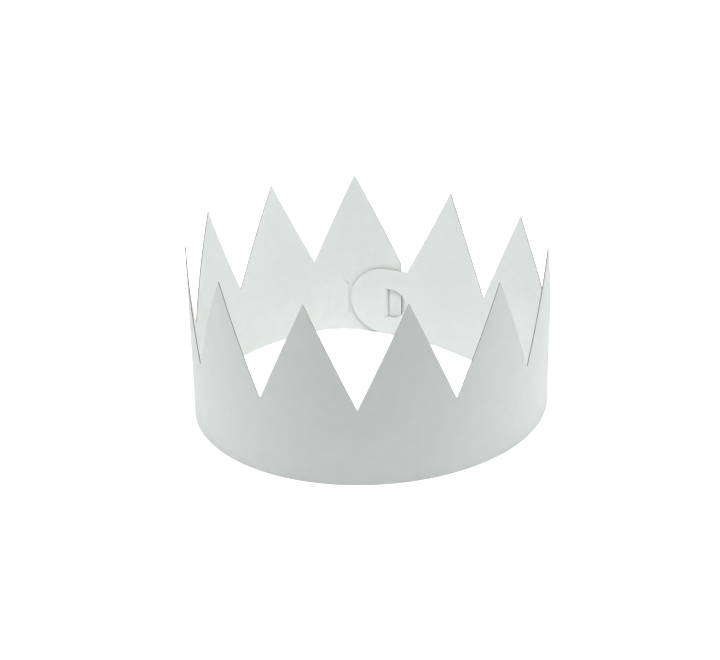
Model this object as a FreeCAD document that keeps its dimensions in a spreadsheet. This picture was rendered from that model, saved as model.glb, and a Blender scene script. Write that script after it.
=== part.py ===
import FreeCAD, Part
import math
import os
import Sketcher

# Paper crown, cut from one strip of white card and closed into a loop by its own lock.
# Millimetres, +Z up, the lock at the back (+Y). The sheet gives the size of the flat blank and
# the way it is bent. Distances along the loop start at the first spike's middle and run
# clockwise as seen from above.

Vec = FreeCAD.Vector
UP = Vec(0, 0, 1)
NODE = "paper_crown"

DRIVING_SIZES = (
    ("crown_height", 101.5, "foot to spike tips"),
    ("band_height", 43.5, "foot to the bottom of the notches"),
    ("card_thickness", 0.5, "thickness of the card"),
    ("layer_gap", 0.8, "air between two layers where the ends overlap"),
    ("spike_count", 11, "number of spikes"),
    ("spike_pitch", 53.4, "distance between two spike tips"),
    ("lock_pitch", 66.0, "distance between the two spike tips at the lock, when it is closed"),
    ("tip_width", 0.3, "blunt width of a spike tip"),
    ("closure_side_run", 31.7, "how far the two spike sides at the lock run out"),
    ("last_notch_shift", 1.4, "the last notch's point lies this much nearer the last spike"),
    ("last_notch_rise", 2.6, "and this much higher than the other notches' points"),
    ("closure_radius", 112.7, "bend radius at the lock"),
    ("closure_length", 68.0, "length of the evenly bent stretch at the lock"),
    ("right_bend_radius", 24.0, "radius of the tight bend at the back right"),
    ("right_bend_angle", 52.6, "how far that bend turns, degrees"),
    ("right_side_angle", 84.3, "how far the right side turns, degrees"),
    ("front_radius", 93.5, "radius of the front"),
    ("front_angle", 125.4, "how far the front turns, degrees"),
    ("left_side_angle", 24.4, "how far the left side turns, degrees"),
    ("left_bend_radius", 39.4, "radius of the tight bend at the back left"),
    ("facing_angle", -46.3, "heading of the loop at the first spike's middle, degrees"),
    ("lock_setback", 19.7, "last spike's middle to the hinge of the tongue"),
    ("end_setback", 29.5, "last spike's middle to the outer end of the strip"),
    ("lock_height", 21.3, "foot to the middle of the tongue and of the slits"),
    ("window_height", 18.6, "height of the tongue's window in the tab"),
    ("window_width", 13.4, "hinge to the round end of the window"),
    ("kerf", 0.2, "clearance between the tongue and its window"),
    ("tongue_bend_radius", 1.5, "bend radius of the tongue where it passes the slit"),
    ("slit_count", 5, "number of slits to set the size of the loop"),
    ("slit_pitch", 12.9, "distance between two slits"),
    ("slit_height", 19.6, "height of a slit without its wings"),
    ("wing_reach", 4.0, "reach of a slit's slanting wings, each way"),
    ("slit_width", 0.2, "width of a slit that is not in use"),
    ("open_slit_width", 1.3, "width of the slit that holds the tongue"),
)

doc = FreeCAD.newDocument("paper_crown")
sheet = doc.addObject("Spreadsheet::Sheet", "sizes")
for row, (alias, value, meaning) in enumerate(DRIVING_SIZES, start=1):
    sheet.set("A%d" % row, alias)
    sheet.set("B%d" % row, str(value))
    sheet.setAlias("B%d" % row, alias)
    sheet.set("C%d" % row, meaning)
doc.recompute()


def size(alias):
    """A driving size as a plain number."""
    return float(sheet.get(alias))


def turn_of(alias):
    """A driving angle in radians."""
    return math.radians(size(alias))


# Helpers for a path of tangent legs. A leg is (length, radius): the radius is None on a straight
# leg, positive where the path turns right and negative where it turns left.

def ahead(heading):
    return Vec(math.cos(heading), math.sin(heading), 0)


def to_right(heading):
    return Vec(math.sin(heading), -math.cos(heading), 0)


def arc_vector(heading, turn):
    """Start to end of an arc of radius 1 that turns right."""
    return to_right(heading) - to_right(heading - turn)


def advance(point, heading, leg, distance):
    """Point and heading at a distance along one leg."""
    length, radius = leg
    if radius is None:
        return point + ahead(heading) * distance, heading
    turn = distance / radius
    return point + arc_vector(heading, turn) * radius, heading - turn


def pose_on(path, distance):
    """Point and heading at a distance along a path, which is (point, heading, legs)."""
    point, heading, legs = path
    for leg in legs[:-1]:
        if distance <= leg[0]:
            return advance(point, heading, leg, distance)
        point, heading = advance(point, heading, leg, leg[0])
        distance -= leg[0]
    return advance(point, heading, legs[-1], distance)


def solve_three(columns, target):
    """Three unknowns from three linear equations, by Cramer's rule."""
    whole = columns[0].dot(columns[1].cross(columns[2]))
    first = target.dot(columns[1].cross(columns[2]))
    second = columns[0].dot(target.cross(columns[2]))
    third = columns[0].dot(columns[1].cross(target))
    return first / whole, second / whole, third / whole


# The loop. The two side radii and the flat behind the first spike follow from the way round and
# from the loop meeting itself, one layer further out, where the ends overlap.

layer_step = size("card_thickness") + size("layer_gap")
inner_closure_radius = size("closure_radius") - layer_step
last_spike = (size("spike_count") - 1) * size("spike_pitch")
way_round = last_spike + size("lock_pitch")
closure_turn = size("closure_length") / size("closure_radius")
first_heading = turn_of("facing_angle")
start_heading = first_heading + closure_turn
left_bend_turn = 2 * math.pi - closure_turn - sum(turn_of(alias) for alias in (
    "right_bend_angle", "right_side_angle", "front_angle", "left_side_angle"))

right_bend_heading = first_heading
right_side_heading = right_bend_heading - turn_of("right_bend_angle")
front_heading = right_side_heading - turn_of("right_side_angle")
left_side_heading = front_heading - turn_of("front_angle")
left_bend_heading = left_side_heading - turn_of("left_side_angle")


def with_length(vector, length):
    """A step in the plan, with the length of loop that it uses up as its third value."""
    return Vec(vector.x, vector.y, length)


def arc_step(heading, turn, radius):
    return with_length(arc_vector(heading, turn) * radius, turn * radius)


known_steps = (
    with_length(arc_vector(start_heading, closure_turn) * inner_closure_radius, size("closure_length"))
    + arc_step(right_bend_heading, turn_of("right_bend_angle"), size("right_bend_radius"))
    + arc_step(front_heading, turn_of("front_angle"), size("front_radius"))
    + arc_step(left_bend_heading, left_bend_turn, size("left_bend_radius"))
)
wanted = with_length(to_right(start_heading) * -layer_step, way_round) - known_steps
flat_length, right_side_radius, left_side_radius = solve_three(
    (
        with_length(ahead(first_heading), 1.0),
        arc_step(right_side_heading, turn_of("right_side_angle"), 1.0),
        arc_step(left_side_heading, turn_of("left_side_angle"), 1.0),
    ),
    wanted,
)

strip_end = last_spike + size("end_setback")
lap_start = way_round - size("closure_length")
first_point = Vec(0, 0, 0)

loop_legs = (
    (flat_length, None),
    (turn_of("right_bend_angle") * size("right_bend_radius"), size("right_bend_radius")),
    (turn_of("right_side_angle") * right_side_radius, right_side_radius),
    (turn_of("front_angle") * size("front_radius"), size("front_radius")),
    (turn_of("left_side_angle") * left_side_radius, left_side_radius),
    (left_bend_turn * size("left_bend_radius"), size("left_bend_radius")),
    (strip_end - lap_start, size("closure_radius")),
)
loop_path = (first_point, first_heading, loop_legs)


def pose_at(distance):
    """Point and heading on the strip. Distances below 0 are on the inner layer at the lock."""
    if distance < 0:
        return advance(first_point, first_heading, (0, inner_closure_radius), distance)
    return pose_on(loop_path, distance)


# Sketches.

def bind(feature, property_name, expression):
    feature.setExpression(property_name, expression)


def plane_of(body, role):
    """One of the body's own origin planes."""
    return next(item for item in body.Origin.OriginFeatures if item.Role == role)


def new_sketch(body, name, offset=None):
    """A sketch on the body's ground plane, moved by the offset."""
    sketch = body.newObject("Sketcher::SketchObject", name)
    sketch.AttachmentSupport = (plane_of(body, "XY_Plane"), [""])
    sketch.MapMode = "FlatFace"
    sketch.AttachmentOffset = offset or FreeCAD.Placement()
    return sketch


def upright_plane(distance):
    """A plane that touches the card at a distance along it: X runs along the card, Y is up."""
    point, heading = pose_at(distance)
    upright = FreeCAD.Rotation(UP, math.degrees(heading)) * FreeCAD.Rotation(Vec(1, 0, 0), 90)
    return FreeCAD.Placement(point, upright)


def across(distance, from_distance):
    """Where a place on the card lies along the upright plane that touches it elsewhere."""
    point, heading = pose_at(from_distance)
    return (pose_at(distance)[0] - point).dot(ahead(heading))


def join_ends(sketch, ends):
    """Ties each curve's end to the next one's start, round the outline."""
    for here, after in zip(ends, ends[1:] + ends[:1]):
        sketch.addConstraint(Sketcher.Constraint("Coincident", here[0], here[2], after[0], after[1]))


def add_line(sketch, start, end):
    index = sketch.addGeometry(Part.LineSegment(start, end), False)
    return index, 1, 2


def add_arc(sketch, centre, radius, start, end, clockwise):
    """An arc from start to end; its own direction is always counter-clockwise."""
    if clockwise:
        start, end = end, start
    first = math.atan2(start.y - centre.y, start.x - centre.x)
    last = math.atan2(end.y - centre.y, end.x - centre.x)
    index = sketch.addGeometry(Part.ArcOfCircle(Part.Circle(centre, UP, radius), first, last), False)
    return (index, 2, 1) if clockwise else (index, 1, 2)


def bind_radius(sketch, arc, name, expression):
    """Ties an arc's radius to the sheet."""
    radius = sketch.Geometry[arc].Radius
    constraint = sketch.addConstraint(Sketcher.Constraint("Radius", arc, radius))
    sketch.renameConstraint(constraint, name)
    bind(sketch, "Constraints." + name, expression)


def ribbon(sketch, path, radius_names):
    """The outline of the card on edge along a path. Named radii are tied to the sheet."""
    point, heading, legs = path
    half = size("card_thickness") / 2.0
    stretches = []
    for leg in legs:
        end_point, end_heading = advance(point, heading, leg, leg[0])
        stretches.append((point, heading, end_point, end_heading, leg[1]))
        point, heading = end_point, end_heading

    def side(stretch, offset, backwards):
        start, start_way, end, end_way, radius = stretch
        first = start - to_right(start_way) * offset
        last = end - to_right(end_way) * offset
        if backwards:
            first, last = last, first
        if radius is None:
            return add_line(sketch, first, last)
        centre = start + to_right(start_way) * radius
        return add_arc(sketch, centre, abs(radius + offset), first, last, (radius > 0) != backwards)

    left = [side(stretch, half, False) for stretch in stretches]
    cap = add_line(sketch, point - to_right(heading) * half, point + to_right(heading) * half)
    right = [side(stretch, -half, True) for stretch in reversed(stretches)]
    start, way = stretches[0][:2]
    foot = add_line(sketch, start + to_right(way) * half, start - to_right(way) * half)
    join_ends(sketch, left + [cap] + right + [foot])
    for number, expression in radius_names.items():
        outer_arc = left[number][0]
        inner_arc = right[len(legs) - 1 - number][0]
        if legs[number][1] < 0:
            outer_arc, inner_arc = inner_arc, outer_arc
        bind_radius(sketch, outer_arc, "outer_%d" % number, expression + " + sizes.card_thickness / 2")
        bind_radius(sketch, inner_arc, "inner_%d" % number, expression + " - sizes.card_thickness / 2")


def polygon(sketch, points):
    """A closed outline of straight lines."""
    corners = [Vec(x, y, 0) for x, y in points]
    ends = [add_line(sketch, a, b) for a, b in zip(corners, corners[1:] + corners[:1])]
    join_ends(sketch, ends)
    return ends


def pad(body, sketch, name, height_expression):
    feature = body.newObject("PartDesign::Pad", name)
    feature.Profile = sketch
    bind(feature, "Length", height_expression)
    return feature


# A cut's whole depth, half of it to each side of the plane it is drawn on. That is more than the
# card bends away from the plane, and less than the way across the loop.
cut_depth = 36.0
# How far a cut's outline runs past the edges of the card.
overshoot = 2.0
open_top = size("crown_height") + overshoot


def cut_through(body, sketch, name):
    """Cuts the sketch's outline out of the card."""
    feature = body.newObject("PartDesign::Pocket", name)
    feature.Profile = sketch
    feature.SideType = "Symmetric"
    feature.Length = cut_depth
    return feature


def bind_height(sketch, line, vertex, expression, name):
    """Ties the height of a corner above the foot to the sheet."""
    height = sketch.getPoint(line, vertex).y
    constraint = sketch.addConstraint(Sketcher.Constraint("DistanceY", -1, 1, line, vertex, height))
    sketch.renameConstraint(constraint, name)
    bind(sketch, "Constraints." + name, expression)


def past_tip(valley, tip):
    """Where the line from a notch's point through a spike's tip meets the open top."""
    stretch = (open_top - valley[1]) / (size("crown_height") - valley[1])
    return valley[0] + (tip - valley[0]) * stretch, open_top


# The wall: the strip from the first spike's middle round to its outer end.

wall = doc.addObject("PartDesign::Body", "wall")
wall_sketch = new_sketch(wall, "wall_plan")
ribbon(wall_sketch, loop_path, {
    1: "sizes.right_bend_radius",
    3: "sizes.front_radius",
    5: "sizes.left_bend_radius",
    6: "sizes.closure_radius",
})
pad(wall, wall_sketch, "wall_pad", "sizes.crown_height")
half_notch = (size("spike_pitch") - size("tip_width")) / 2.0
notch_count = int(size("spike_count")) - 1


def cut_notch(index):
    """The notch between two spikes. The last one is a little shallower and off its middle."""
    middle = (index + 0.5) * size("spike_pitch")
    is_last = index == notch_count - 1
    shift = size("last_notch_shift") if is_last else 0.0
    rise = size("last_notch_rise") if is_last else 0.0
    valley = (shift, size("band_height") + rise)
    right = past_tip(valley, across(middle + half_notch, middle))
    left = past_tip(valley, across(middle - half_notch, middle))
    sketch = new_sketch(wall, "notch_outline_%d" % index, upright_plane(middle))
    lines = polygon(sketch, (valley, right, left))
    height = "sizes.band_height + sizes.last_notch_rise" if is_last else "sizes.band_height"
    bind_height(sketch, lines[0][0], 1, height, "valley")
    return cut_through(wall, sketch, "notch_%d" % index)


def cut_end_side():
    """The last spike's side, which runs out at the strip's outer end."""
    foot = last_spike + size("closure_side_run")
    valley = (0.0, size("band_height"))
    tip = past_tip(valley, across(last_spike + size("tip_width") / 2.0, foot))
    far = max(0.0, across(strip_end, foot)) + overshoot
    sketch = new_sketch(wall, "end_side_outline", upright_plane(foot))
    lines = polygon(sketch, (valley, (far, size("band_height")), (far, open_top), tip))
    bind_height(sketch, lines[0][0], 1, "sizes.band_height", "valley")
    return cut_through(wall, sketch, "end_side")


wing_slant = math.radians(45)


def cut_slit(index, distance, width):
    """A slit with a slanting wing at each end that turns away from the strip's outer end."""
    half = width / 2.0
    top = size("lock_height") + size("slit_height") / 2.0
    bottom = size("lock_height") - size("slit_height") / 2.0
    wing = size("wing_reach")
    # Both sides of the slit keep its width round the corners of the wings.
    corner = half * math.tan(wing_slant / 2.0)
    tip_shift = half * math.sin(wing_slant)
    sketch = new_sketch(wall, "slit_outline_%d" % index, upright_plane(distance))
    polygon(sketch, (
        (half, bottom - corner),
        (half, top + corner),
        (-wing + tip_shift, top + wing + tip_shift),
        (-wing - tip_shift, top + wing - tip_shift),
        (-half, top - corner),
        (-half, bottom + corner),
        (-wing - tip_shift, bottom - wing + tip_shift),
        (-wing + tip_shift, bottom - wing - tip_shift),
    ))
    return cut_through(wall, sketch, "slit_%d" % index)


wall_cuts = [cut_notch(index) for index in range(notch_count)]
wall_cuts.append(cut_end_side())

# The tongue turns out of the tab at its hinge and crosses the outer layer half way along its
# double bend. That bend is two arcs, and the layers' circles touch them from inside and outside.

hinge = last_spike + size("lock_setback") - way_round
bend = size("tongue_bend_radius")
hinge_side = inner_closure_radius + bend
lap_side = size("closure_radius") + layer_step - bend
cross_side = 2 * bend
out_turn = math.acos((hinge_side ** 2 + cross_side ** 2 - lap_side ** 2) / (2 * hinge_side * cross_side))
bend_share = math.asin(cross_side * math.sin(out_turn) / lap_side)
back_turn = out_turn + bend_share
used_slit = last_spike + size("lock_setback") + bend_share * size("closure_radius") / 2.0

for number in range(int(size("slit_count"))):
    slit_place = used_slit - number * size("slit_pitch")
    slit_width = size("slit_width") if number else size("open_slit_width")
    wall_cuts.append(cut_slit(number, slit_place, slit_width))


# The tab: the strip's inner end up to the first spike's middle, half round at its tip, with the
# tongue's window.

tab = doc.addObject("PartDesign::Body", "tab")
tab_tip = hinge - size("band_height") / 2.0
tab_start = tab_tip - overshoot
tab_sketch = new_sketch(tab, "tab_plan")
# It laps into the wall by less than half a spike tip, so that the two lengths join.
tab_legs = ((-tab_start, inner_closure_radius), (size("tip_width") / 3.0, None))
tab_path = pose_at(tab_start) + (tab_legs,)
ribbon(tab_sketch, tab_path, {0: "sizes.closure_radius - sizes.card_thickness - sizes.layer_gap"})
pad(tab, tab_sketch, "tab_pad", "sizes.crown_height")

tab_half = size("band_height") / 2.0
beyond_tip = -tab_half - 2 * overshoot


def cut_tab_side():
    """The first spike's side, and all above the band from there to the tab's tip."""
    root = -size("closure_side_run")
    valley = (0.0, size("band_height"))
    tip = past_tip(valley, across(-size("tip_width") / 2.0, root))
    far = across(tab_start, root) - overshoot
    sketch = new_sketch(tab, "tab_side_outline", upright_plane(root))
    lines = polygon(sketch, (valley, tip, (far, open_top), (far, size("band_height"))))
    bind_height(sketch, lines[0][0], 1, "sizes.band_height", "valley")
    return cut_through(tab, sketch, "tab_side")


def cut_tab_end():
    """Leaves a half round end whose centre is at the tongue's hinge."""
    sketch = new_sketch(tab, "tab_end_outline", upright_plane(hinge))
    top, bottom = size("band_height"), 0.0
    high, low = top + overshoot, bottom - overshoot
    ends = [
        add_arc(sketch, Vec(0, tab_half, 0), tab_half, Vec(0, bottom, 0), Vec(0, top, 0), True),
        add_line(sketch, Vec(0, top, 0), Vec(0, high, 0)),
        add_line(sketch, Vec(0, high, 0), Vec(beyond_tip, high, 0)),
        add_line(sketch, Vec(beyond_tip, high, 0), Vec(beyond_tip, low, 0)),
        add_line(sketch, Vec(beyond_tip, low, 0), Vec(0, low, 0)),
        add_line(sketch, Vec(0, low, 0), Vec(0, bottom, 0)),
    ]
    join_ends(sketch, ends)
    return cut_through(tab, sketch, "tab_end")


window_radius = size("window_height") / 2.0


def cut_window():
    """The opening that the tongue leaves: straight at the hinge, half round at its far end."""
    sketch = new_sketch(tab, "window_outline", upright_plane(hinge))
    top = size("lock_height") + window_radius
    bottom = size("lock_height") - window_radius
    round_start = size("window_width") - window_radius
    ends = [
        add_line(sketch, Vec(0, bottom, 0), Vec(round_start, bottom, 0)),
        add_arc(sketch, Vec(round_start, size("lock_height"), 0), window_radius,
                Vec(round_start, bottom, 0), Vec(round_start, top, 0), False),
        add_line(sketch, Vec(round_start, top, 0), Vec(0, top, 0)),
        add_line(sketch, Vec(0, top, 0), Vec(0, bottom, 0)),
    ]
    join_ends(sketch, ends)
    return cut_through(tab, sketch, "window")


tab_cuts = [cut_tab_side(), cut_tab_end(), cut_window()]


# The tongue: hinged on the tab, through the used slit and on over the outside of the strip.

tongue = doc.addObject("PartDesign::Body", "tongue")
tongue_foot = size("lock_height") - window_radius + size("kerf")
bend_length = (out_turn + back_turn) * bend
flat_tongue = size("window_width") - size("kerf") - bend_length
tongue_legs = (
    (out_turn * bend, -bend),
    (back_turn * bend, bend),
    (flat_tongue, size("closure_radius") + layer_step),
)
hinge_point, hinge_heading = pose_at(hinge)
tongue_path = (hinge_point, hinge_heading, tongue_legs)
tongue_sketch = new_sketch(tongue, "tongue_plan", FreeCAD.Placement(Vec(0, 0, tongue_foot), FreeCAD.Rotation()))
ribbon(tongue_sketch, tongue_path, {
    0: "sizes.tongue_bend_radius",
    1: "sizes.tongue_bend_radius",
    2: "sizes.closure_radius + sizes.card_thickness + sizes.layer_gap",
})
pad(tongue, tongue_sketch, "tongue_pad", "sizes.window_height - 2 * sizes.kerf")


def cut_tongue_end():
    """Rounds the tongue's free end."""
    tip_point, tip_heading = pose_on(tongue_path, bend_length + flat_tongue)
    tip = (tip_point - hinge_point).dot(ahead(hinge_heading))
    radius = window_radius - size("kerf")
    middle = size("lock_height")
    round_start = tip - radius
    far = tip + overshoot
    high, low = middle + radius + overshoot, middle - radius - overshoot
    sketch = new_sketch(tongue, "tongue_end_outline", upright_plane(hinge))
    ends = [
        add_arc(sketch, Vec(round_start, middle, 0), radius, Vec(round_start, middle + radius, 0),
                Vec(round_start, middle - radius, 0), True),
        add_line(sketch, Vec(round_start, middle - radius, 0), Vec(round_start, low, 0)),
        add_line(sketch, Vec(round_start, low, 0), Vec(far, low, 0)),
        add_line(sketch, Vec(far, low, 0), Vec(far, high, 0)),
        add_line(sketch, Vec(far, high, 0), Vec(round_start, high, 0)),
        add_line(sketch, Vec(round_start, high, 0), Vec(round_start, middle + radius, 0)),
    ]
    join_ends(sketch, ends)
    return cut_through(tongue, sketch, "tongue_end")


tongue_cuts = [cut_tongue_end()]
doc.recompute()

# One sheet: the three lengths of card are one piece.

crown = doc.addObject("Part::MultiFuse", "crown")
crown.Shapes = [wall, tab, tongue]
crown.Refine = True
crown.Label = NODE
doc.recompute()

# The middle of the loop stands over the origin, with its foot on the ground.
bounds = crown.Shape.optimalBoundingBox(False, False)
crown.Placement = FreeCAD.Placement(Vec(-bounds.Center.x, -bounds.Center.y, 0), FreeCAD.Rotation())
doc.recompute()


# Checks.

def check_objects():
    for item in doc.Objects:
        if "Invalid" in item.State or "Error" in item.State:
            raise RuntimeError("%s failed: %s" % (item.Label, item.State))


def check_cuts(body, cuts):
    """Each cut takes some card away."""
    for cut in cuts:
        before = cut.BaseFeature.Shape.Volume
        if not cut.Shape.Volume < before:
            raise RuntimeError("%s in %s cuts nothing" % (cut.Label, body.Label))


def check_part(item):
    shape = item.Shape
    if shape.isNull() or not shape.isValid():
        raise RuntimeError("%s has no valid shape" % item.Label)
    if len(shape.Solids) != 1:
        raise RuntimeError("%s is %d solids, not one" % (item.Label, len(shape.Solids)))


check_objects()
check_cuts(wall, wall_cuts)
check_cuts(tab, tab_cuts)
check_cuts(tongue, tongue_cuts)
check_part(crown)

os.makedirs("parts", exist_ok=True)
crown.Shape.exportStep("parts/%s.step" % crown.Label)

print("flat %.2f, right side radius %.2f, left side radius %.2f, left bend turn %.1f deg" % (
    flat_length, right_side_radius, left_side_radius, math.degrees(left_bend_turn)))
print("box %.2f x %.2f x %.2f mm, volume %.1f mm3" % (
    bounds.XLength, bounds.YLength, bounds.ZLength, crown.Shape.Volume))
print("first spike's middle at %.3f, %.3f mm" % (crown.Placement.Base.x, crown.Placement.Base.y))
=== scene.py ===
import math

import bmesh
import bpy
import numpy as np
from bpy.props import FloatProperty, FloatVectorProperty, IntProperty, PointerProperty
from mathutils import Matrix, Vector
from mathutils.geometry import delaunay_2d_cdt


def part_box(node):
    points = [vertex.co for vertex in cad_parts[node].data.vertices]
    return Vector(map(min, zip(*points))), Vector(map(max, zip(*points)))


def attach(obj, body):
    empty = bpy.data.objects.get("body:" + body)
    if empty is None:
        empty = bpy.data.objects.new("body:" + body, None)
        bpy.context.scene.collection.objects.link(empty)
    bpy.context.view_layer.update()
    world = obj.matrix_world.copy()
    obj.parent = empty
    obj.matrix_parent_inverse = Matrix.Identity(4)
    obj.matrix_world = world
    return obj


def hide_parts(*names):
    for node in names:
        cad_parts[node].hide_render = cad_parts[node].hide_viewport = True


bl_info = {
    "name": "Paper crown",
    "version": (1, 0, 0),
    "blender": (4, 5, 0),
    "location": "View3D > Sidebar > Crown",
    "description": "Cuts a card crown from a flat blank, bends it into a ring and sets its stage",
    "category": "Object",
}

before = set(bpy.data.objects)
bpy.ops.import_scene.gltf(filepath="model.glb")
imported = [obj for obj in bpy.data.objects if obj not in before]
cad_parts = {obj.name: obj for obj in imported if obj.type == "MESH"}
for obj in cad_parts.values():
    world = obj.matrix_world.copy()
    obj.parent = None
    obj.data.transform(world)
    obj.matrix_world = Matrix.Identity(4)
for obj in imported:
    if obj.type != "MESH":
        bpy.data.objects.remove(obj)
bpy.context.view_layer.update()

NODE = "paper_crown"

WING_SLANT = math.radians(45)
SHARP_ANGLE = math.radians(20)
# Share of the mesh step that the points inside the blank keep from its outlines.
GRID_CLEARANCE = 0.45
# How far a face's normal may lie along the card's own before the face counts as the rim, and as
# the rim with its rounding. The rim with its rounding takes the dark core colour, which is partly
# painted shade: it darkens and widens the lines along the cut edges to stand in for the shade there.
RIM_LIMIT, ROUNDED_RIM_LIMIT = 0.5, 0.95
# The range that a noise pattern mostly keeps to.
NOISE_RANGE = (0.3, 0.7)
# Sizes of the card's patterns, in features per metre.
CLOUD_SCALE, FIBRE_SCALE, CORE_SCALE, MOTTLE_SCALE = 160.0, 1500.0, 2600.0, 6.0

FLOOR_REACH = 3.0
SENSOR_WIDTH = 36.0
LIGHTS_AIM = (0, 0, 0.05)
# Each soft light's name, width, depth and place. Its power is the stage's setting of that name.
LIGHTS = (
    ("top light", 0.5, 0.4, (0.0, -0.2, 0.8)),
    ("left light", 0.6, 0.6, (-0.9, -0.1, 0.45)),
    ("low left light", 0.5, 0.4, (-0.8, 0.1, 0.2)),
    ("low right light", 0.5, 0.4, (0.8, 0.1, 0.2)),
    ("back light", 0.7, 0.4, (0.0, 0.6, 0.7)),
)


def length(name, default, description):
    """A length in metres, as a setting."""
    return FloatProperty(
        name=name, description=description, default=default, precision=5, unit="LENGTH", subtype="DISTANCE"
    )


def angle(name, degrees, description):
    """An angle, given here in degrees."""
    return FloatProperty(
        name=name, description=description, default=math.radians(degrees), unit="ROTATION", subtype="ANGLE"
    )


def share(name, default, description):
    """A number without a unit."""
    return FloatProperty(name=name, description=description, default=default, precision=4, subtype="FACTOR")


def colour(name, default, description):
    """A linear colour."""
    return FloatVectorProperty(
        name=name, description=description, default=default, size=3, min=0.0, max=1.0, subtype="COLOR"
    )


def watts(name, default, description):
    """The power of a light."""
    return FloatProperty(name=name, description=description, default=default, min=0.0, unit="POWER")


class CrownBlank(bpy.types.PropertyGroup):
    """Sizes of the flat strip of card."""

    spike_count: IntProperty(name="Spikes", description="Number of spikes", default=11, min=3)
    spike_pitch: length("Spike pitch", 0.0534, "Distance between two spike tips")
    lock_pitch: length("Lock pitch", 0.066, "Distance between the two spike tips at the closed lock")
    crown_height: length("Height", 0.1015, "Foot to the spike tips")
    band_height: length("Band", 0.0435, "Foot to the bottom of the notches")
    tip_width: length("Tip width", 0.0003, "Blunt width of a spike tip")
    side_run: length("Side run", 0.0317, "How far the two spike sides at the lock run out")
    last_notch_shift: length("Last notch shift", 0.0014, "The last notch lies this much nearer the last spike")
    last_notch_rise: length("Last notch rise", 0.0026, "The last notch is this much shallower")
    thickness: length("Card", 0.0005, "Thickness of the card")
    layer_gap: length("Layer gap", 0.0008, "Air between two layers at the lock")
    end_setback: length("Outer end", 0.0295, "Last spike's middle to the outer end of the strip")
    lock_setback: length("Hinge", 0.0197, "Last spike's middle to the hinge of the tongue")
    lock_height: length("Lock height", 0.0213, "Foot to the middle of the tongue and slits")
    window_height: length("Window height", 0.0186, "Height of the tongue's window")
    window_width: length("Window width", 0.0134, "Hinge to the round end of the window")
    kerf: length("Kerf", 0.0002, "Clearance between the tongue and its window")
    slit_count: IntProperty(name="Slits", description="Number of slits", default=5, min=1)
    slit_pitch: length("Slit pitch", 0.0129, "Distance between two slits")
    slit_height: length("Slit height", 0.0196, "Height of a slit without its wings")
    wing_reach: length("Wing", 0.004, "Reach of a slit's slanting wings, each way")
    slit_width: length("Slit width", 0.00005, "Width of a slit that is not in use")
    open_slit_width: length("Open slit width", 0.0007, "Width of the slit that holds the tongue")
    mesh_step: length("Mesh step", 0.002, "Spacing of the mesh along the strip")
    edge_round: length("Edge rounding", 0.0002, "Rounding that the cutting die leaves on an edge")
    flap_lift: length("Flap lift", 0.0004, "How far the flap beside a slit stands inwards at its free edge")
    tongue_sag: length("Tongue sag", 0.0008, "How far the tongue's tip hangs down in its slit")
    tongue_stretch: length("Tongue stretch", 0.0016, "How far the tongue's tip reaches past its own window")


class CrownBend(bpy.types.PropertyGroup):
    """The way the strip is bent into a ring, seen from above."""

    closure_radius: length("Lock radius", 0.1127, "Bend radius at the lock")
    closure_length: length("Lock length", 0.068, "Length of the evenly bent stretch at the lock")
    right_bend_radius: length("Right bend radius", 0.024, "Radius of the tight bend at the back right")
    right_bend_angle: angle("Right bend", 52.6, "How far that bend turns")
    right_side_angle: angle("Right side", 84.3, "How far the right side turns")
    front_radius: length("Front radius", 0.0935, "Radius of the front")
    front_angle: angle("Front", 125.4, "How far the front turns")
    left_side_angle: angle("Left side", 24.4, "How far the left side turns")
    left_bend_radius: length("Left bend radius", 0.0394, "Radius of the tight bend at the back left")
    facing_angle: angle("Facing", -46.3, "Heading of the ring at the first spike's middle")
    tongue_radius: length("Tongue bend", 0.0015, "Bend radius of the tongue where it passes the slit")
    tongue_curl: length("Tongue curl", 0.06, "Bend radius of the rest of the tongue, which presses it on the card")
    path_step: length("Path step", 0.0005, "Spacing of the points along the path")
    ripple: length("Ripple", 0.00018, "Unevenness of the hand-bent card")
    ripple_length: length("Ripple length", 0.06, "Distance between two swells of that unevenness")


class CrownCard(bpy.types.PropertyGroup):
    """Finish of the card."""

    face: colour("Face", (0.828, 0.862, 0.845), "Colour of the coated face")
    shade: colour("Cloudiness", (0.802, 0.84, 0.82), "Slightly darker colour of the cloudy patches")
    # The core colours are partly painted shade: darker than the card's core, so that the cut edges and their
    # rounding also show the shade along the rims.
    core: colour("Core", (0.27, 0.25, 0.225), "Colour of the cut edge, where the core shows")
    core_fibres_and_rim_shade: colour("Core shade", (0.18, 0.165, 0.148), "Darker fibres in the core")
    roughness: share("Roughness", 0.82, "Roughness of the face")
    fibre: length("Fibre relief", 0.00002, "Height of the fibres that show through the face")


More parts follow.
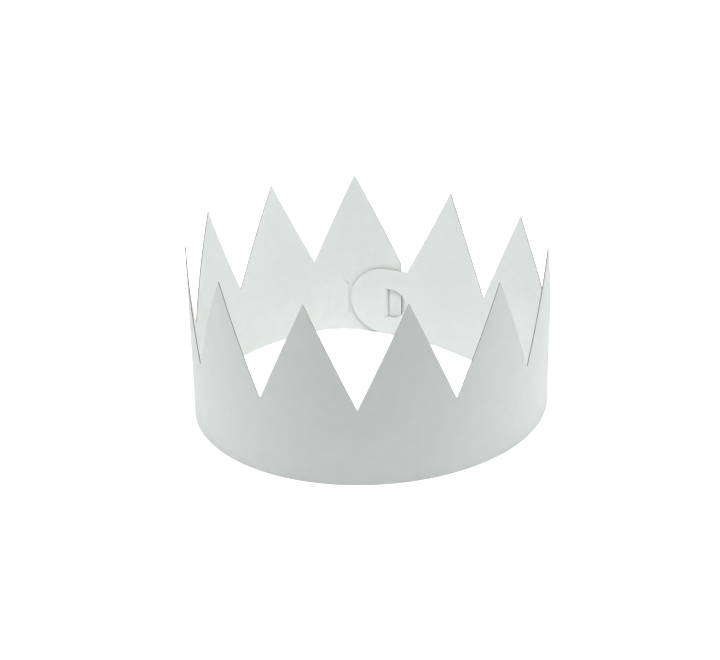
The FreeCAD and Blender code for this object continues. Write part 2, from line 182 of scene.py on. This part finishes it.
class CrownStage(bpy.types.PropertyGroup):
    """Camera, floor and light."""

    elevation: angle("Elevation", 25.19, "How far the camera looks down")
    roll: angle("Roll", -0.888, "Tilt of the camera about its line of sight")
    distance: length("Distance", 1.04151, "Camera to the point on the floor that it looks at")
    target: FloatVectorProperty(
        name="Target",
        description="Point on the floor that the camera looks at",
        default=(-0.00581, 0.0935, 0.0),
        size=3,
        precision=5,
        subtype="TRANSLATION",
    )
    lens: FloatProperty(name="Lens", description="Focal length in millimetres", default=83.78)
    top_light: watts("Top light", 6.65, "Power of the soft light overhead")
    left_light: watts("Left light", 0.5, "Power of the soft light high on the left")
    low_left_light: watts("Low left light", 1.9, "Power of the soft light low on the left")
    low_right_light: watts("Low right light", 2.55, "Power of the soft light low on the right")
    back_light: watts("Back light", 2.8, "Power of the soft light high behind")
    sky: FloatProperty(name="Sky", description="Strength of the even light from all round", default=0.02)
    floor_tone: colour("Floor", (0.8, 0.8, 0.8), "Colour of the floor")
    floor_glow: FloatProperty(name="Floor glow", description="Whiteness that only the camera sees", default=0.55)
    far_glow: FloatProperty(name="Far glow", description="The same, away from the crown", default=1.0)
    glow_start: length("Glow start", 0.25, "Distance from the middle at which the floor's glow begins to rise")
    glow_end: length("Glow end", 0.9, "Distance from the middle at which it is at its highest")


# The path of the ring. A leg is (length, radius): the radius is None on a straight leg, positive
# where the path turns right and negative where it turns left.


def ahead(heading):
    """The direction of a heading."""
    return Vector((math.cos(heading), math.sin(heading), 0))


def to_right(heading):
    """The direction to the right of a heading."""
    return Vector((math.sin(heading), -math.cos(heading), 0))


def advance(point, heading, leg, distance):
    """Point and heading at a distance along one leg."""
    radius = leg[1]
    if radius is None:
        return point + ahead(heading) * distance, heading
    turned = heading - distance / radius
    return point + (to_right(heading) - to_right(turned)) * radius, turned


def walk(point, heading, legs, step):
    """Points along a chain of legs, no further apart than the step."""
    points = [point.copy()]
    for leg in legs:
        count = max(1, math.ceil(leg[0] / step))
        for index in range(1, count + 1):
            points.append(advance(point, heading, leg, leg[0] * index / count)[0])
        point, heading = advance(point, heading, leg, leg[0])
    return points


def layout(blank, bend):
    """Places along the strip that the blank and its path share."""
    last_spike = (blank.spike_count - 1) * blank.spike_pitch
    way_round = last_spike + blank.lock_pitch
    hinge = last_spike + blank.lock_setback - way_round
    step = blank.thickness + blank.layer_gap
    inner = bend.closure_radius - step
    near, far = inner + bend.tongue_radius, bend.closure_radius + step - bend.tongue_radius
    across = 2 * bend.tongue_radius
    out_turn = math.acos((near**2 + across**2 - far**2) / (2 * near * across))
    bend_share = math.asin(across * math.sin(out_turn) / far)
    return {
        "way_round": way_round,
        "strip_end": last_spike + blank.end_setback,
        "hinge": hinge,
        "tab_tip": hinge - blank.band_height / 2,
        "used_slit": last_spike + blank.lock_setback + bend_share * bend.closure_radius / 2,
        "step": step,
        "inner_radius": inner,
        "out_turn": out_turn,
        "back_turn": out_turn + bend_share,
    }


def solve_loop(bend, places):
    """The legs of the ring. Two radii and the flat follow from the ring meeting itself."""
    start = bend.facing_angle + bend.closure_length / bend.closure_radius
    turns = [bend.right_bend_angle, bend.right_side_angle, bend.front_angle, bend.left_side_angle]
    turns.append(2 * math.pi - bend.closure_length / bend.closure_radius - sum(turns))
    headings = [bend.facing_angle]
    for turn in turns:
        headings.append(headings[-1] - turn)

    def arc(index):
        vector = to_right(headings[index]) - to_right(headings[index] - turns[index])
        return np.array((vector.x, vector.y, turns[index]))

    closing = (to_right(start) - to_right(bend.facing_angle)) * places["inner_radius"]
    known = np.array((closing.x, closing.y, bend.closure_length))
    known += arc(0) * bend.right_bend_radius + arc(2) * bend.front_radius + arc(4) * bend.left_bend_radius
    lapped = to_right(start) * -places["step"]
    flat_way = ahead(bend.facing_angle)
    columns = np.array((np.array((flat_way.x, flat_way.y, 1.0)), arc(1), arc(3))).T
    wanted = np.array((lapped.x, lapped.y, places["way_round"])) - known
    flat, right_radius, left_radius = np.linalg.solve(columns, wanted)
    radii = (bend.right_bend_radius, right_radius, bend.front_radius, left_radius, bend.left_bend_radius)
    legs = [(flat, None)] + [(turn * radius, radius) for turn, radius in zip(turns, radii)]
    lap_start = places["way_round"] - bend.closure_length
    legs.append((places["strip_end"] - lap_start, bend.closure_radius))
    return legs


def path_curve(name, points):
    """A path as a curve of straight steps, for the bending to follow."""
    data = bpy.data.curves.new(name, "CURVE")
    data.dimensions = "3D"
    spline = data.splines.new("POLY")
    spline.points.add(len(points) - 1)
    spline.points.foreach_set("co", [value for point in points for value in (*point, 1.0)])
    path = bpy.data.objects.new(name, data)
    bpy.context.scene.collection.objects.link(path)
    return path


# The flat blank. X runs along the strip, Z is height, and Y is through the card, outwards.


def half_round(centre_x, centre_z, radius, start, turn, count=36):
    """Points on a half circle, its two ends included."""
    steps = [start + turn * index / count for index in range(count + 1)]
    return [(centre_x + radius * math.cos(a), centre_z + radius * math.sin(a)) for a in steps]


def blank_outline(blank, places):
    """The strip's outline, along its foot and back over the spikes."""
    half = blank.band_height / 2
    tip = blank.tip_width / 2
    rise = blank.crown_height - blank.band_height
    end_rise = rise * (blank.side_run - blank.end_setback) / (blank.side_run - tip)
    points = [(places["strip_end"], 0.0), (places["strip_end"], blank.band_height + end_rise)]
    for index in reversed(range(blank.spike_count)):
        middle = index * blank.spike_pitch
        points += [(middle + tip, blank.crown_height), (middle - tip, blank.crown_height)]
        if index:
            is_last = index == blank.spike_count - 1
            shift = blank.last_notch_shift if is_last else 0.0
            lift = blank.last_notch_rise if is_last else 0.0
            points.append((middle - blank.spike_pitch / 2 + shift, blank.band_height + lift))
    points.append((-blank.side_run, blank.band_height))
    points += half_round(places["hinge"], half, half, math.pi / 2, math.pi)
    return points


def slit_outline(blank, distance, width):
    """A slit with a slanting wing at each end."""
    half = width / 2
    top = blank.lock_height + blank.slit_height / 2
    bottom = blank.lock_height - blank.slit_height / 2
    wing = blank.wing_reach
    corner = half * math.tan(WING_SLANT / 2)
    shift = half * math.sin(WING_SLANT)
    return [
        (distance + half, bottom - corner),
        (distance + half, top + corner),
        (distance - wing + shift, top + wing + shift),
        (distance - wing - shift, top + wing - shift),
        (distance - half, top - corner),
        (distance - half, bottom + corner),
        (distance - wing - shift, bottom - wing + shift),
        (distance - wing + shift, bottom - wing - shift),
    ]


def window_gap_outline(blank, places):
    """The thin cut round the tongue, open at its hinge."""
    hinge = places["hinge"]
    radius = blank.window_height / 2
    centre = hinge + blank.window_width - radius
    outside = half_round(centre, blank.lock_height, radius, -math.pi / 2, math.pi)
    inside = half_round(centre, blank.lock_height, radius - blank.kerf, math.pi / 2, -math.pi)
    foot, top = blank.lock_height - radius, blank.lock_height + radius
    return (
        [(hinge, foot)] + outside + [(hinge, top), (hinge, top - blank.kerf)] + inside + [(hinge, foot + blank.kerf)]
    )


def inside_outline(points, outline):
    """Which of the points lie inside a closed outline."""
    found = np.zeros(len(points), bool)
    x, z = points[:, 0], points[:, 1]
    for (x0, z0), (x1, z1) in zip(outline, outline[1:] + outline[:1]):
        if z0 != z1:
            found ^= ((z0 > z) != (z1 > z)) & (x < (x1 - x0) * (z - z0) / (z1 - z0) + x0)
    return found


def far_from_outline(points, outline, gap):
    """Which of the points are at least the gap away from every side of an outline."""
    clear = np.ones(len(points), bool)
    for start, end in zip(outline, outline[1:] + outline[:1]):
        start, side = np.array(start), np.array(end) - np.array(start)
        along = np.clip(((points - start) @ side) / max(side @ side, 1e-18), 0, 1)
        clear &= np.linalg.norm(points - start - along[:, None] * side, axis=1) > gap
    return clear


def divided(outline, step):
    """The same outline with points added on its long sides."""
    points = []
    for (x0, z0), (x1, z1) in zip(outline, outline[1:] + outline[:1]):
        count = max(1, math.ceil(math.hypot(x1 - x0, z1 - z0) / step))
        points += [(x0 + (x1 - x0) * i / count, z0 + (z1 - z0) * i / count) for i in range(count)]
    return points


def flat_blank(blank, places):
    """The strip as a flat mesh of triangles: its corner points and its faces."""
    step = blank.mesh_step
    outer = divided(blank_outline(blank, places), step)
    holes = [divided(window_gap_outline(blank, places), step / 2)]
    for number in range(blank.slit_count):
        width = blank.slit_width if number else blank.open_slit_width
        holes.append(divided(slit_outline(blank, places["used_slit"] - number * blank.slit_pitch, width), step))
    columns = np.arange(places["tab_tip"], places["strip_end"], step)
    rows = np.arange(step, blank.crown_height, step * 2)
    grid = np.array([(x, z) for x in columns for z in rows])
    grid = grid[inside_outline(grid, outer)]
    for outline in [outer] + holes:
        grid = grid[far_from_outline(grid, outline, step * GRID_CLEARANCE)]
    corners, sides = [], []
    for outline in [outer] + holes:
        first = len(corners)
        corners += outline
        sides += [(first + i, first + (i + 1) % len(outline)) for i in range(len(outline))]
    corners += [tuple(point) for point in grid]
    found, _, faces, *_ = delaunay_2d_cdt([Vector(c) for c in corners], sides, [], 0, 1e-8)
    found = np.array([tuple(point) for point in found])
    faces = np.array(faces)
    middles = found[faces].mean(axis=1)
    kept = inside_outline(middles, outer)
    for hole in holes:
        kept &= ~inside_outline(middles, hole)
    return found, faces[kept]


def is_crisp(blank, places, point):
    """Whether a point is on a slit that is not in use, where the edges are not rounded."""
    for number in range(1, blank.slit_count):
        slit = places["used_slit"] - number * blank.slit_pitch
        near = slit - blank.wing_reach - blank.slit_width < point.x < slit + blank.slit_width * 2
        height = abs(point.z - blank.lock_height)
        if near and height < blank.slit_height / 2 + blank.wing_reach + blank.slit_width:
            return True
    return False


def thick_blank(name, blank, places):
    """The blank with the card's thickness and its edges rounded by the die."""
    corners, faces = flat_blank(blank, places)
    half = blank.thickness / 2
    bm = bmesh.new()
    inner = [bm.verts.new((x, -half, z)) for x, z in corners]
    outer = [bm.verts.new((x, half, z)) for x, z in corners]
    for a, b, c in faces:
        bm.faces.new((inner[a], inner[b], inner[c]))
        bm.faces.new((outer[c], outer[b], outer[a]))
    bm.verts.index_update()
    count = len(corners)
    rim = [edge for edge in bm.edges if edge.is_boundary and edge.verts[0].index < count]
    for edge in rim:
        a, b = edge.verts
        bm.faces.new((b, a, outer[a.index], outer[b.index]))
    bmesh.ops.delete(bm, geom=[vert for vert in bm.verts if not vert.link_faces], context="VERTS")
    bmesh.ops.recalc_face_normals(bm, faces=bm.faces)
    cut = {face for face in bm.faces if abs(face.normal.y) < RIM_LIMIT}
    worn = []
    for edge in bm.edges:
        on_rim = len(edge.link_faces) == 2 and sum(face in cut for face in edge.link_faces) == 1
        if on_rim and not is_crisp(blank, places, (edge.verts[0].co + edge.verts[1].co) / 2):
            worn.append(edge)
    bmesh.ops.bevel(
        bm, geom=worn, offset=blank.edge_round, offset_type="OFFSET", segments=2, profile=0.5, affect="EDGES",
        clamp_overlap=True,
    )
    bm.normal_update()
    data = bpy.data.meshes.new(name)
    bm.to_mesh(data)
    bm.free()
    return data


def lift_beside_slit(blank, places, number, x, z):
    """How far inwards a point of the flap between a slit and its wings stands."""
    back = places["used_slit"] - number * blank.slit_pitch - x
    in_flap = 0 < back < blank.wing_reach and abs(z - blank.lock_height) < blank.slit_height / 2 + back
    return blank.flap_lift * (1 - back / blank.wing_reach) ** 2 if in_flap else 0.0


def ease_cuts(data, blank, places):
    """Lifts the flaps of the slits that are not in use, and lets the tongue reach out and hang."""
    marks = data.attributes["tongue"].data
    for vert, mark in zip(data.vertices, marks):
        x, z = vert.co.x, vert.co.z
        if mark.value:
            way_out = (x - places["hinge"]) / blank.window_width
            vert.co.x += blank.tongue_stretch * way_out
            vert.co.z += (z - blank.lock_height) * way_out * blank.tongue_stretch / blank.window_width
            vert.co.z -= blank.tongue_sag * way_out
        for number in range(1, blank.slit_count):
            vert.co.y -= lift_beside_slit(blank, places, number, x, z)


def mark_blank(data, blank, places):
    """Notes on the mesh which points are on the tongue, and which faces are cut edges with their rounding; these get
    the dark core colour, which also paints the shade along the rims.
    """
    count = len(data.vertices)
    co = np.empty(count * 3, np.float32)
    data.vertices.foreach_get("co", co)
    co = co.reshape(-1, 3)
    along, height = co[:, 0] - places["hinge"], co[:, 2] - blank.lock_height
    radius = blank.window_height / 2
    round_start = blank.window_width - radius
    edge = radius - blank.kerf / 2
    in_straight = (along > 1e-6) & (along <= round_start) & (np.abs(height) < edge)
    in_round = (along > round_start) & (np.hypot(along - round_start, height) < edge)
    data.attributes.new("tongue", "BOOLEAN", "POINT").data.foreach_set("value", in_straight | in_round)
    normals = np.empty(len(data.polygons) * 3, np.float32)
    data.polygons.foreach_get("normal", normals)
    # The cut faces and the rounding beside them get the dark core colour, which also paints the shade along the
    # rims.
    cut = np.abs(normals.reshape(-1, 3)[:, 1]) < ROUNDED_RIM_LIMIT
    data.attributes.new("cut_edge", "BOOLEAN", "FACE").data.foreach_set("value", cut)


# The bending: a Geometry Nodes tree that lays the flat blank along its paths.


def wire(tree, source, target):
    """Links two sockets."""
    tree.links.new(source, target)


def math_node(tree, operation, first, second):
    """A Math node whose inputs are sockets or plain numbers."""
    node = tree.nodes.new("ShaderNodeMath")
    node.operation = operation
    for socket, value in zip(node.inputs, (first, second)):
        if isinstance(value, bpy.types.NodeSocket):
            wire(tree, value, socket)
        else:
            socket.default_value = value
    return node.outputs[0]


def vector_node(tree, operation, first, second):
    """A Vector Math node; a plain number scales the first vector."""
    node = tree.nodes.new("ShaderNodeVectorMath")
    node.operation = operation
    wire(tree, first, node.inputs[0])
    if operation == "SCALE":
        wire(tree, second, node.inputs["Scale"])
    elif isinstance(second, bpy.types.NodeSocket):
        wire(tree, second, node.inputs[1])
    else:
        node.inputs[1].default_value = second
    return node.outputs[0]


def bending_tree():
    """Lays a flat blank along the ring, and its tongue along a path of its own."""
    tree = bpy.data.node_groups.new("bend the blank", "GeometryNodeTree")
    tree.is_modifier = True
    face = tree.interface
    face.new_socket("Bent card", in_out="OUTPUT", socket_type="NodeSocketGeometry")
    face.new_socket("Flat blank", in_out="INPUT", socket_type="NodeSocketGeometry")
    for name in ("Ring", "Tongue path"):
        face.new_socket(name, in_out="INPUT", socket_type="NodeSocketObject")
    for name in ("Blank start", "Hinge", "Lap", "Strip end", "Ripple", "Ripple length"):
        face.new_socket(name, in_out="INPUT", socket_type="NodeSocketFloat")
    for name in ("Card", "Cut edge"):
        face.new_socket(name, in_out="INPUT", socket_type="NodeSocketMaterial")
    given = tree.nodes.new("NodeGroupInput").outputs
    result = tree.nodes.new("NodeGroupOutput").inputs
    place = tree.nodes.new("ShaderNodeSeparateXYZ")
    wire(tree, tree.nodes.new("GeometryNodeInputPosition").outputs[0], place.inputs[0])
    along, through, height = place.outputs

    def named(attribute, kind):
        node = tree.nodes.new("GeometryNodeInputNamedAttribute")
        node.data_type = kind
        node.inputs["Name"].default_value = attribute
        return node.outputs["Attribute"]

    def sampled(path, start):
        info = tree.nodes.new("GeometryNodeObjectInfo")
        info.transform_space = "ORIGINAL"
        wire(tree, given[path], info.inputs["Object"])
        sample = tree.nodes.new("GeometryNodeSampleCurve")
        sample.mode = "LENGTH"
        wire(tree, info.outputs["Geometry"], sample.inputs["Curves"])
        wire(tree, math_node(tree, "SUBTRACT", along, given[start]), sample.inputs["Length"])
        return sample.outputs["Position"], sample.outputs["Tangent"]

    def either(ring_vector, tongue_vector):
        node = tree.nodes.new("GeometryNodeSwitch")
        node.input_type = "VECTOR"
        wire(tree, named("tongue", "BOOLEAN"), node.inputs["Switch"])
        wire(tree, ring_vector, node.inputs["False"])
        wire(tree, tongue_vector, node.inputs["True"])
        return node.outputs[0]

    ring_point, ring_way = sampled("Ring", "Blank start")
    tongue_point, tongue_way = sampled("Tongue path", "Hinge")
    point = either(ring_point, tongue_point)
    way = either(ring_way, tongue_way)
    outward = vector_node(tree, "CROSS_PRODUCT", way, (0, 0, 1))
    outward = vector_node(tree, "MULTIPLY", outward, (-1, -1, -1))

    # The ripple dies out towards the lock, where two layers lie close together.
    noise = tree.nodes.new("ShaderNodeTexNoise")
    noise.noise_dimensions = "2D"
    noise.inputs["Detail"].default_value = 1.0
    stretched = tree.nodes.new("ShaderNodeCombineXYZ")
    wire(tree, math_node(tree, "DIVIDE", along, given["Ripple length"]), stretched.inputs[0])
    wire(tree, math_node(tree, "DIVIDE", height, given["Ripple length"]), stretched.inputs[1])
    wire(tree, stretched.outputs[0], noise.inputs["Vector"])
    noise.inputs["Scale"].default_value = 1.0
    swell = math_node(tree, "SUBTRACT", noise.outputs[0], 0.5)

    def fade(distance):
        node = tree.nodes.new("ShaderNodeMapRange")
        node.interpolation_type = "SMOOTHSTEP"
        wire(tree, distance, node.inputs["Value"])
        node.inputs["From Min"].default_value = 0.0
        wire(tree, given["Lap"], node.inputs["From Max"])
        return node.outputs[0]

    calm = math_node(tree, "MULTIPLY", fade(along), fade(math_node(tree, "SUBTRACT", given["Strip end"], along)))
    calm = math_node(tree, "MULTIPLY", calm, 2.0)
    swell = math_node(tree, "MULTIPLY", math_node(tree, "MULTIPLY", swell, calm), given["Ripple"])
    offset = vector_node(tree, "SCALE", outward, math_node(tree, "ADD", through, swell))
    raised = tree.nodes.new("ShaderNodeCombineXYZ")
    wire(tree, height, raised.inputs["Z"])
    moved = vector_node(tree, "ADD", vector_node(tree, "ADD", point, offset), raised.outputs[0])

    bent = tree.nodes.new("GeometryNodeSetPosition")
    wire(tree, given["Flat blank"], bent.inputs["Geometry"])
    wire(tree, moved, bent.inputs["Position"])
    real = tree.nodes.new("GeometryNodeRealizeInstances")
    wire(tree, bent.outputs[0], real.inputs["Geometry"])
    last = real.outputs[0]
    # The cut faces and their rounding get the core material, darkened as painted shade along the rims.
    for name, selection in (("Card", None), ("Cut edge", named("cut_edge", "BOOLEAN"))):
        node = tree.nodes.new("GeometryNodeSetMaterial")
        wire(tree, last, node.inputs["Geometry"])
        wire(tree, given[name], node.inputs["Material"])
        if selection is not None:
            wire(tree, selection, node.inputs["Selection"])
        last = node.outputs[0]
    wire(tree, last, result[0])
    return tree


def set_inputs(modifier, tree, values):
    """Sets a modifier's inputs by their names, through the sockets' identifiers."""
    for item in tree.interface.items_tree:
        if item.in_out == "INPUT" and item.name in values:
            modifier[item.identifier] = values[item.name]


def as_plain_mesh(piece):
    """Turns the evaluated piece into a plain mesh without modifiers."""
    bpy.context.view_layer.update()
    evaluated = piece.evaluated_get(bpy.context.evaluated_depsgraph_get())
    data = bpy.data.meshes.new_from_object(evaluated)
    piece.modifiers.clear()
    piece.data = data
    return data


def mark_sharp(data, limit):
    """Smooth faces, with an edge kept sharp where two of them meet at more than the limit."""
    bm = bmesh.new()
    bm.from_mesh(data)
    for face in bm.faces:
        face.smooth = True
    for edge in bm.edges:
        edge.smooth = len(edge.link_faces) == 2 and edge.calc_face_angle() < limit
    bm.to_mesh(data)
    bm.free()


def middle_of_box(corners):
    """The middle of a box's foot."""
    low, high = corners
    return Vector(((low[0] + high[0]) / 2, (low[1] + high[1]) / 2, 0))


# Materials.


def card_tree(name):
    """An empty material with its Principled shader and Object coordinates."""
    material = bpy.data.materials.new(name)
    material.use_nodes = True
    tree = material.node_tree
    shader = next(node for node in tree.nodes if node.type == "BSDF_PRINCIPLED")
    coordinates = tree.nodes.new("ShaderNodeTexCoord").outputs["Object"]
    return material, tree, shader, coordinates


def noise_node(tree, coordinates, scale, detail, stretch=(1, 1, 1)):
    """A noise pattern; the scale is in features per metre."""
    mapping = tree.nodes.new("ShaderNodeMapping")
    mapping.inputs["Scale"].default_value = stretch
    wire(tree, coordinates, mapping.inputs["Vector"])
    noise = tree.nodes.new("ShaderNodeTexNoise")
    noise.inputs["Scale"].default_value = scale
    noise.inputs["Detail"].default_value = detail
    wire(tree, mapping.outputs[0], noise.inputs["Vector"])
    return noise.outputs[0]


def ranged(tree, value, low, high, to_low, to_high):
    """Maps a value from one range to another."""
    node = tree.nodes.new("ShaderNodeMapRange")
    wire(tree, value, node.inputs["Value"])
    for socket, number in zip(("From Min", "From Max", "To Min", "To Max"), (low, high, to_low, to_high)):
        node.inputs[socket].default_value = number
    return node.outputs[0]


def blended(tree, factor, first, second):
    """Mixes two plain colours by a pattern."""
    node = tree.nodes.new("ShaderNodeMix")
    node.data_type = "RGBA"
    wire(tree, factor, node.inputs["Factor"])
    for socket, value in zip([s for s in node.inputs if s.type == "RGBA"], (first, second)):
        socket.default_value = (*value, 1.0)
    return next(s for s in node.outputs if s.type == "RGBA")


def card_face_material(card):
    """Matt white card: cloudy fibre formation, and fine relief."""
    material, tree, shader, coordinates = card_tree("white card")
    clouds = noise_node(tree, coordinates, CLOUD_SCALE, 4.0)
    fibres = noise_node(tree, coordinates, FIBRE_SCALE, 3.0, (1.0, 1.0, 0.45))
    cloudy = ranged(tree, clouds, *NOISE_RANGE, 0.0, 1.0)
    wire(tree, blended(tree, cloudy, card.face, card.shade), shader.inputs["Base Color"])
    unevenness = 0.05
    rough = ranged(tree, fibres, *NOISE_RANGE, card.roughness - unevenness, card.roughness + unevenness)
    wire(tree, rough, shader.inputs["Roughness"])
    relief = tree.nodes.new("ShaderNodeBump")
    relief.inputs["Strength"].default_value = 0.6
    relief.inputs["Distance"].default_value = card.fibre
    wire(tree, fibres, relief.inputs["Height"])
    wire(tree, relief.outputs[0], shader.inputs["Normal"])
    shader.inputs["Specular IOR Level"].default_value = 0.25
    return material


def cut_edge_and_rim_shade_material(card):
    """The card's core, seen where the die cut it, and painted shade: darker than the core alone, so that the cut
    edges and their rounding also stand in for the shade along the rims.
    """
    material, tree, shader, coordinates = card_tree("card core")
    fibres = noise_node(tree, coordinates, CORE_SCALE, 2.0)
    fibrous = ranged(tree, fibres, *NOISE_RANGE, 0.0, 1.0)
    wire(tree, blended(tree, fibrous, card.core, card.core_fibres_and_rim_shade), shader.inputs["Base Color"])
    relief = tree.nodes.new("ShaderNodeBump")
    relief.inputs["Strength"].default_value = 0.7
    relief.inputs["Distance"].default_value = card.fibre * 2
    wire(tree, fibres, relief.inputs["Height"])
    wire(tree, relief.outputs[0], shader.inputs["Normal"])
    shader.inputs["Roughness"].default_value = 0.95
    shader.inputs["Specular IOR Level"].default_value = 0.1
    return material


class CROWN_OT_cut_and_bend(bpy.types.Operator):
    """Cut the flat blank, bend it into a ring and hook its tongue"""

    bl_idname = "crown.cut_and_bend"
    bl_label = "Cut and bend the card"

    def execute(self, context):
        scene = context.scene
        blank, bend, card = scene.crown_blank, scene.crown_bend, scene.crown_card
        places = layout(blank, bend)
        legs = solve_loop(bend, places)
        inner_length = -places["tab_tip"]
        start_point, start_heading = advance(
            Vector((0, 0, 0)), bend.facing_angle, (0, places["inner_radius"]), places["tab_tip"]
        )
        ring_legs = [(inner_length, places["inner_radius"])] + legs
        ring = path_curve("ring path", walk(start_point, start_heading, ring_legs, bend.path_step))
        hinge_point, hinge_heading = advance(
            Vector((0, 0, 0)), bend.facing_angle, (0, places["inner_radius"]), places["hinge"]
        )
        radius = bend.tongue_radius
        bends = [(places["out_turn"] * radius, -radius), (places["back_turn"] * radius, radius)]
        rest = blank.window_width + blank.tongue_stretch - bends[0][0] - bends[1][0]
        bends.append((rest, bend.tongue_curl))
        tongue = path_curve("tongue path", walk(hinge_point, hinge_heading, bends, bend.path_step / 10))

        data = thick_blank("crown blank", blank, places)
        mark_blank(data, blank, places)
        ease_cuts(data, blank, places)
        piece = bpy.data.objects.new("crown", data)
        scene.collection.objects.link(piece)
        tree = bending_tree()
        modifier = piece.modifiers.new("bend", "NODES")
        modifier.node_group = tree
        set_inputs(modifier, tree, {
            "Ring": ring,
            "Tongue path": tongue,
            "Blank start": places["tab_tip"],
            "Hinge": places["hinge"],
            "Lap": bend.closure_length,
            "Strip end": places["strip_end"],
            "Ripple": bend.ripple,
            "Ripple length": bend.ripple_length,
            "Card": card_face_material(card),
            "Cut edge": cut_edge_and_rim_shade_material(card),
        })
        data = as_plain_mesh(piece)
        for path in (ring, tongue):
            bpy.data.objects.remove(path)
        own_low = [min(vert.co[axis] for vert in data.vertices) for axis in range(3)]
        own_high = [max(vert.co[axis] for vert in data.vertices) for axis in range(3)]
        shift = middle_of_box(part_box(NODE)) - middle_of_box((own_low, own_high))
        data.transform(Matrix.Translation(shift))
        mark_sharp(data, SHARP_ANGLE)
        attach(piece, "root")
        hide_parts(NODE)
        return {"FINISHED"}


def soft_light(name, power, width, depth, location, target):
    """A rectangular soft light that faces its target."""
    data = bpy.data.lights.new(name, "AREA")
    data.shape = "RECTANGLE"
    data.size, data.size_y = width, depth
    data.energy = power
    light = bpy.data.objects.new(name, data)
    light.location = location
    light.rotation_euler = (Vector(target) - Vector(location)).to_track_quat("-Z", "Y").to_euler()
    bpy.context.scene.collection.objects.link(light)


def floor_material(stage):
    """A pale floor that takes the shadow, and that the camera sees nearly white."""
    material, tree, shader, coordinates = card_tree("floor")
    mottle = ranged(tree, noise_node(tree, coordinates, MOTTLE_SCALE, 2.0), *NOISE_RANGE, 0.0, 1.0)
    darker = [value * 0.985 for value in stage.floor_tone]
    wire(tree, blended(tree, mottle, stage.floor_tone, darker), shader.inputs["Base Color"])
    shader.inputs["Roughness"].default_value = 0.9
    shader.inputs["Specular IOR Level"].default_value = 0.0
    shader.inputs["Emission Color"].default_value = (1, 1, 1, 1)
    rays = tree.nodes.new("ShaderNodeLightPath")
    seen = math_node(tree, "MAXIMUM", rays.outputs["Is Camera Ray"], rays.outputs["Is Glossy Ray"])
    seen = math_node(tree, "MAXIMUM", seen, rays.outputs["Is Transmission Ray"])
    away = tree.nodes.new("ShaderNodeVectorMath")
    away.operation = "LENGTH"
    wire(tree, coordinates, away.inputs[0])
    glow = ranged(tree, away.outputs["Value"], stage.glow_start, stage.glow_end, stage.floor_glow, stage.far_glow)
    wire(tree, math_node(tree, "MULTIPLY", seen, glow), shader.inputs["Emission Strength"])
    return material


def white_world(stage):
    """Even light from all round; the camera sees it white."""
    world = bpy.data.worlds.new("white room")
    world.use_nodes = True
    tree = world.node_tree
    background = next(node for node in tree.nodes if node.type == "BACKGROUND")
    background.inputs["Color"].default_value = (1, 1, 1, 1)
    rays = tree.nodes.new("ShaderNodeLightPath")
    seen = math_node(tree, "MAXIMUM", rays.outputs["Is Camera Ray"], rays.outputs["Is Glossy Ray"])
    seen = math_node(tree, "MAXIMUM", seen, rays.outputs["Is Transmission Ray"])
    strength = ranged(tree, seen, 0.0, 1.0, stage.sky, 1.0)
    wire(tree, strength, background.inputs["Strength"])
    return world


class CROWN_OT_set_stage(bpy.types.Operator):
    """Set up the floor, the soft lights and the camera"""

    bl_idname = "crown.set_stage"
    bl_label = "Set the stage"

    def execute(self, context):
        scene = context.scene
        stage = scene.crown_stage
        scene.view_settings.view_transform = "Standard"
        data = bpy.data.meshes.new("floor")
        corners = [(x * FLOOR_REACH, y * FLOOR_REACH, 0) for x, y in ((-1, -1), (1, -1), (1, 1), (-1, 1))]
        data.from_pydata(corners, [], [(0, 1, 2, 3)])
        floor = bpy.data.objects.new("floor", data)
        data.materials.append(floor_material(stage))
        scene.collection.objects.link(floor)
        scene.world = white_world(stage)
        for name, width, depth, place in LIGHTS:
            soft_light(name, getattr(stage, name.replace(" ", "_")), width, depth, place, LIGHTS_AIM)

        data = bpy.data.cameras.new("camera")
        data.lens = stage.lens
        data.sensor_width = SENSOR_WIDTH
        data.clip_start, data.clip_end = 0.01, 20.0
        camera = bpy.data.objects.new("camera", data)
        line = Vector((0, math.cos(stage.elevation), -math.sin(stage.elevation)))
        turned = line.to_track_quat("-Z", "Y").to_matrix().to_4x4() @ Matrix.Rotation(stage.roll, 4, "Z")
        camera.matrix_world = Matrix.Translation(Vector(stage.target) - line * stage.distance) @ turned
        scene.collection.objects.link(camera)
        scene.camera = camera
        return {"FINISHED"}


class CROWN_PT_panel(bpy.types.Panel):
    """Lists the crown's operators and settings"""

    bl_idname = "CROWN_PT_panel"
    bl_label = "Paper crown"
    bl_space_type = "VIEW_3D"
    bl_region_type = "UI"
    bl_category = "Crown"

    def draw(self, context):
        column = self.layout.column()
        for operator in ("crown.cut_and_bend", "crown.set_stage"):
            column.operator(operator)
        for group, _ in GROUPS:
            settings = getattr(context.scene, group)
            for name in settings.__annotations__:
                column.prop(settings, name)


GROUPS = (
    ("crown_blank", CrownBlank),
    ("crown_bend", CrownBend),
    ("crown_card", CrownCard),
    ("crown_stage", CrownStage),
)
CLASSES = tuple(group for _, group in GROUPS) + (CROWN_OT_cut_and_bend, CROWN_OT_set_stage, CROWN_PT_panel)


def register():
    for item in CLASSES:
        bpy.utils.register_class(item)
    for name, group in GROUPS:
        setattr(bpy.types.Scene, name, PointerProperty(type=group))


def unregister():
    for name, _ in GROUPS:
        delattr(bpy.types.Scene, name)
    for item in reversed(CLASSES):
        bpy.utils.unregister_class(item)


def main():
    register()
    bpy.ops.crown.set_stage()
    bpy.ops.crown.cut_and_bend()


if __name__ == "__main__":
    main()
